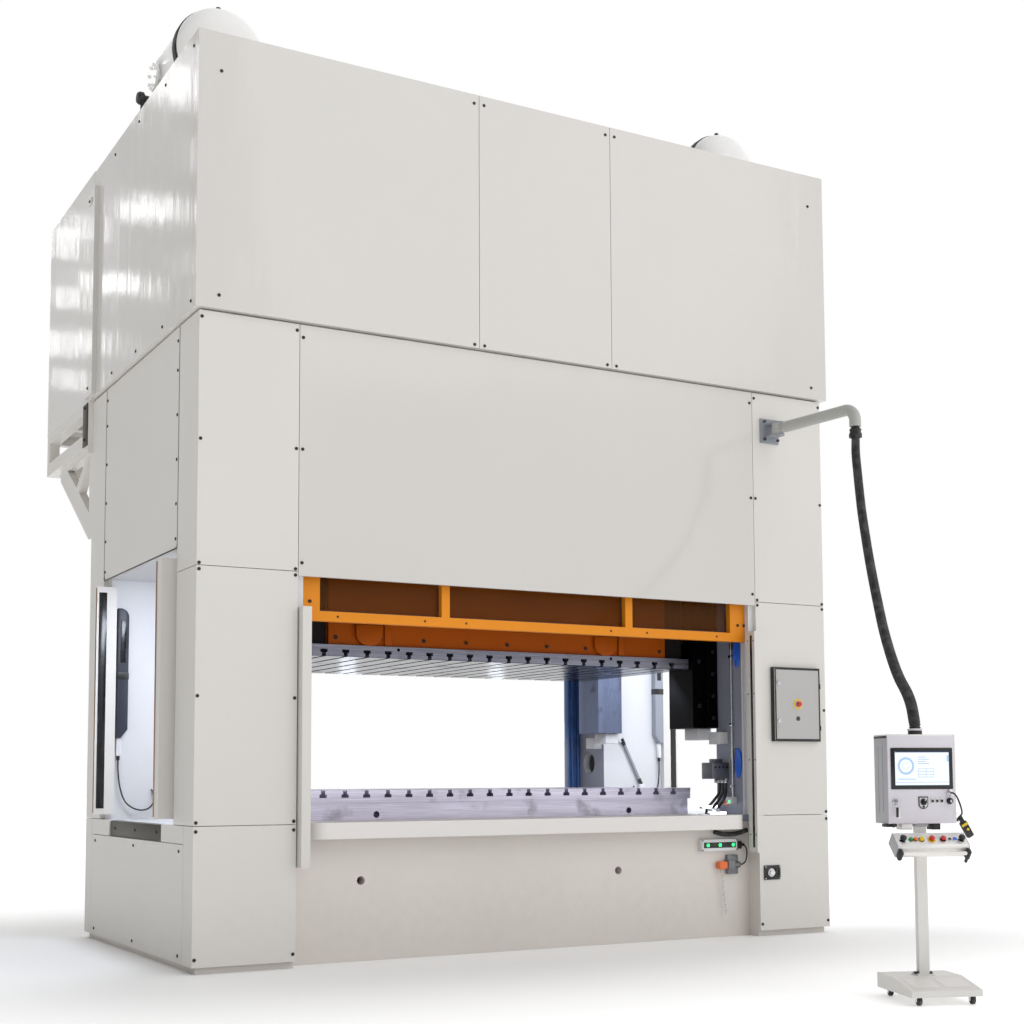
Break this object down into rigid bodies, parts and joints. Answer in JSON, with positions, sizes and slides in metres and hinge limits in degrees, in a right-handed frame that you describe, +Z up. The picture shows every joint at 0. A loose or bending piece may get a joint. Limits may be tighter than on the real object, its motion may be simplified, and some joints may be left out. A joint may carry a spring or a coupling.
{
  "type": "straight side servo press",
  "caption": "Straight side servo press with slotted bolster and slide, lifting front guard, eccentric gear drive, rear motor housing and a wheeled console on a hose.",
  "frame": {"origin": "centre of the foundation bolt pattern on the floor, under the middle of the bolster", "axes": "+X to the right along the front, +Y to the back, +Z up"},
  "size_m": [4.94, 7.0882, 6.232],
  "materials": {
    "white_paint": "satin",
    "orange_paint": "satin",
    "bare_steel": "machined",
    "dark_steel": "machined",
    "bronze": "machined",
    "motor_paint": "satin",
    "brown_window": "tinted",
    "lamp_grey": "anodised",
    "black_paint": "satin",
    "door_grey": "satin",
    "red_plastic": "gloss",
    "arm_grey": "satin",
    "hose_rubber": "ribbed",
    "castor_rubber": "matt",
    "console_lilac": "satin",
    "screen_face": "gloss",
    "desk_silver": "satin",
    "green_plastic": "gloss",
    "orange_plastic": "gloss",
    "yellow_plastic": "gloss",
    "black_plastic": "matt"
  },
  "bodies": {
    "frame": {"bed": "white_paint", "left_upright": "white_paint", "right_upright": "white_paint", "crown": "white_paint", "tie_rods": "dark_steel", "bolster": "bare_steel", "shaft_bearings": "bronze", "servo_motors": "motor_paint", "gib_rails": "dark_steel", "balance_cylinders": "white_paint", "guard_rails": "white_paint", "upper_panels": "white_paint", "frame_covers": "white_paint", "apron_tray": "white_paint", "rear_enclosure": "white_paint", "rear_platform": "white_paint", "surge_tanks": "white_paint", "curtain_posts": "white_paint", "work_lamps": "lamp_grey", "electric_box": "black_paint", "arm_bracket": "bare_steel", "console_hose": "hose_rubber", "pedestal": "white_paint", "console_housing": "console_lilac", "console_screen": "screen_face", "button_desk": "desk_silver"},
    "ram": {"slide_body": "orange_paint", "slide_plate": "bare_steel", "gib_liners": "bronze", "balance_pistons": "bare_steel"},
    "left_crank": {"left_eccentric_shaft": "bare_steel", "left_main_gear": "dark_steel"},
    "right_crank": {"right_eccentric_shaft": "bare_steel", "right_main_gear": "dark_steel"},
    "left_rod": {"left_connecting_rod": "bare_steel"},
    "right_rod": {"right_connecting_rod": "bare_steel"},
    "left_pinion": {"left_pinion_shaft": "bare_steel"},
    "right_pinion": {"right_pinion_shaft": "bare_steel"},
    "guard": {"guard_frame": "orange_paint", "guard_windows": "brown_window"},
    "door": {"box_door": "door_grey"},
    "box_stop": {"box_stop_button": "red_plastic"},
    "arm": {"swing_arm": "arm_grey"},
    "front_left_castor": {"front_left_fork": "bare_steel"},
    "front_left_roller": {"front_left_wheel": "castor_rubber"},
    "front_right_castor": {"front_right_fork": "bare_steel"},
    "front_right_roller": {"front_right_wheel": "castor_rubber"},
    "rear_left_castor": {"rear_left_fork": "bare_steel"},
    "rear_left_roller": {"rear_left_wheel": "castor_rubber"},
    "rear_right_castor": {"rear_right_fork": "bare_steel"},
    "rear_right_roller": {"rear_right_wheel": "castor_rubber"},
    "stop": {"stop_button": "red_plastic"},
    "reset": {"reset_button": "red_plastic"},
    "green": {"green_button": "green_plastic"},
    "orange": {"orange_button": "orange_plastic"},
    "yellow": {"yellow_button": "yellow_plastic"},
    "left_palm": {"left_palm_button": "black_plastic"},
    "right_palm": {"right_palm_button": "black_plastic"},
    "key": {"key_switch": "bare_steel"},
    "selector": {"mode_selector": "black_plastic"}
  },
  "joints": [
    {"name": "ram_slide", "type": "slide", "parent": "frame", "child": "ram", "axis": [0, 0, -1], "range_m": [0, 0.25]},
    {"name": "left_crank_turn", "type": "hinge", "parent": "frame", "child": "left_crank", "pos_m": [-0.7, 0, 4.79], "axis": [0, -1, 0], "range_deg": [-0.01, 180.01]},
    {"name": "right_crank_turn", "type": "hinge", "parent": "frame", "child": "right_crank", "pos_m": [0.7, 0, 4.79], "axis": [0, 1, 0], "range_deg": [-0.01, 180.01]},
    {"name": "left_rod_swing", "type": "hinge", "parent": "left_crank", "child": "left_rod", "pos_m": [-0.7, 0, 4.915], "axis": [0, -1, 0], "range_deg": [-180.01, 0.01]},
    {"name": "right_rod_swing", "type": "hinge", "parent": "right_crank", "child": "right_rod", "pos_m": [0.7, 0, 4.915], "axis": [0, 1, 0], "range_deg": [-180.01, 0.01]},
    {"name": "left_pinion_turn", "type": "hinge", "parent": "frame", "child": "left_pinion", "pos_m": [-1.48644, 0, 5.08516], "axis": [0, -1, 0], "range_deg": [-900.01, 0.01]},
    {"name": "right_pinion_turn", "type": "hinge", "parent": "frame", "child": "right_pinion", "pos_m": [1.48644, 0, 5.08516], "axis": [0, 1, 0], "range_deg": [-900.01, 0.01]},
    {"name": "guard_drop", "type": "slide", "parent": "frame", "child": "guard", "axis": [0, 0, -1], "range_m": [0, 1.2]},
    {"name": "box_door_swing", "type": "hinge", "parent": "frame", "child": "door", "pos_m": [2.306, -1.309, 1.65], "axis": [0, 0, 1], "range_deg": [0, 110]},
    {"name": "box_stop_press", "type": "slide", "parent": "door", "child": "box_stop", "axis": [0, 1, 0], "range_m": [0, 0.005], "stiffness_N_per_m": 800, "springref_m": -0.001},
    {"name": "arm_swing", "type": "hinge", "parent": "frame", "child": "arm", "pos_m": [1.9, -1.385, 3.65], "axis": [0, 0, 1], "range_deg": [-30, 30]},
    {"name": "front_left_swivel", "type": "hinge", "parent": "frame", "child": "front_left_castor", "pos_m": [0.34993, -4.26962, 0.054], "axis": [0, 0, 1], "continuous": true},
    {"name": "front_left_roll", "type": "hinge", "parent": "front_left_castor", "child": "front_left_roller", "pos_m": [0.34377, -4.28654, 0.024], "axis": [0.9397, -0.342, 0], "continuous": true},
    {"name": "front_right_swivel", "type": "hinge", "parent": "frame", "child": "front_right_castor", "pos_m": [0.61304, -4.36539, 0.054], "axis": [0, 0, 1], "continuous": true},
    {"name": "front_right_roll", "type": "hinge", "parent": "front_right_castor", "child": "front_right_roller", "pos_m": [0.60689, -4.3823, 0.024], "axis": [0.9397, -0.342, 0], "continuous": true},
    {"name": "rear_left_swivel", "type": "hinge", "parent": "frame", "child": "rear_left_castor", "pos_m": [0.46896, -3.94261, 0.054], "axis": [0, 0, 1], "continuous": true},
    {"name": "rear_left_roll", "type": "hinge", "parent": "rear_left_castor", "child": "rear_left_roller", "pos_m": [0.4628, -3.95953, 0.024], "axis": [0.9397, -0.342, 0], "continuous": true},
    {"name": "rear_right_swivel", "type": "hinge", "parent": "frame", "child": "rear_right_castor", "pos_m": [0.73207, -4.03838, 0.054], "axis": [0, 0, 1], "continuous": true},
    {"name": "rear_right_roll", "type": "hinge", "parent": "rear_right_castor", "child": "rear_right_roller", "pos_m": [0.72591, -4.05529, 0.024], "axis": [0.9397, -0.342, 0], "continuous": true},
    {"name": "stop_press", "type": "slide", "parent": "frame", "child": "stop", "axis": [0.2229, 0.6123, -0.7586], "range_m": [0, 0.004], "stiffness_N_per_m": 800, "springref_m": -0.001},
    {"name": "reset_press", "type": "slide", "parent": "frame", "child": "reset", "axis": [0.2229, 0.6123, -0.7586], "range_m": [0, 0.004], "stiffness_N_per_m": 800, "springref_m": -0.001},
    {"name": "green_press", "type": "slide", "parent": "frame", "child": "green", "axis": [0.2229, 0.6123, -0.7586], "range_m": [0, 0.004], "stiffness_N_per_m": 800, "springref_m": -0.001},
    {"name": "orange_press", "type": "slide", "parent": "frame", "child": "orange", "axis": [0.2229, 0.6123, -0.7586], "range_m": [0, 0.004], "stiffness_N_per_m": 800, "springref_m": -0.001},
    {"name": "yellow_press", "type": "slide", "parent": "frame", "child": "yellow", "axis": [0.2229, 0.6123, -0.7586], "range_m": [0, 0.004], "stiffness_N_per_m": 800, "springref_m": -0.001},
    {"name": "left_palm_press", "type": "slide", "parent": "frame", "child": "left_palm", "axis": [0.2229, 0.6123, -0.7586], "range_m": [0, 0.004], "stiffness_N_per_m": 800, "springref_m": -0.001},
    {"name": "right_palm_press", "type": "slide", "parent": "frame", "child": "right_palm", "axis": [0.2229, 0.6123, -0.7586], "range_m": [0, 0.004], "stiffness_N_per_m": 800, "springref_m": -0.001},
    {"name": "key_turn", "type": "hinge", "parent": "frame", "child": "key", "pos_m": [0.40877, -4.08459, 0.995], "axis": [0.342, 0.9397, 0], "range_deg": [0, 90]},
    {"name": "selector_turn", "type": "hinge", "parent": "frame", "child": "selector", "pos_m": [0.5516, -4.13657, 0.995], "axis": [0.342, 0.9397, 0], "range_deg": [-45, 45]}
  ],
  "couplings": [
    {"joint": "left_crank_turn", "follows": "ram_slide", "rad_per_m": 12.566},
    {"joint": "right_crank_turn", "follows": "ram_slide", "rad_per_m": 12.566},
    {"joint": "left_rod_swing", "follows": "ram_slide", "rad_per_m": -12.566},
    {"joint": "right_rod_swing", "follows": "ram_slide", "rad_per_m": -12.566},
    {"joint": "left_pinion_turn", "follows": "ram_slide", "rad_per_m": -62.832},
    {"joint": "right_pinion_turn", "follows": "ram_slide", "rad_per_m": -62.832}
  ]
}
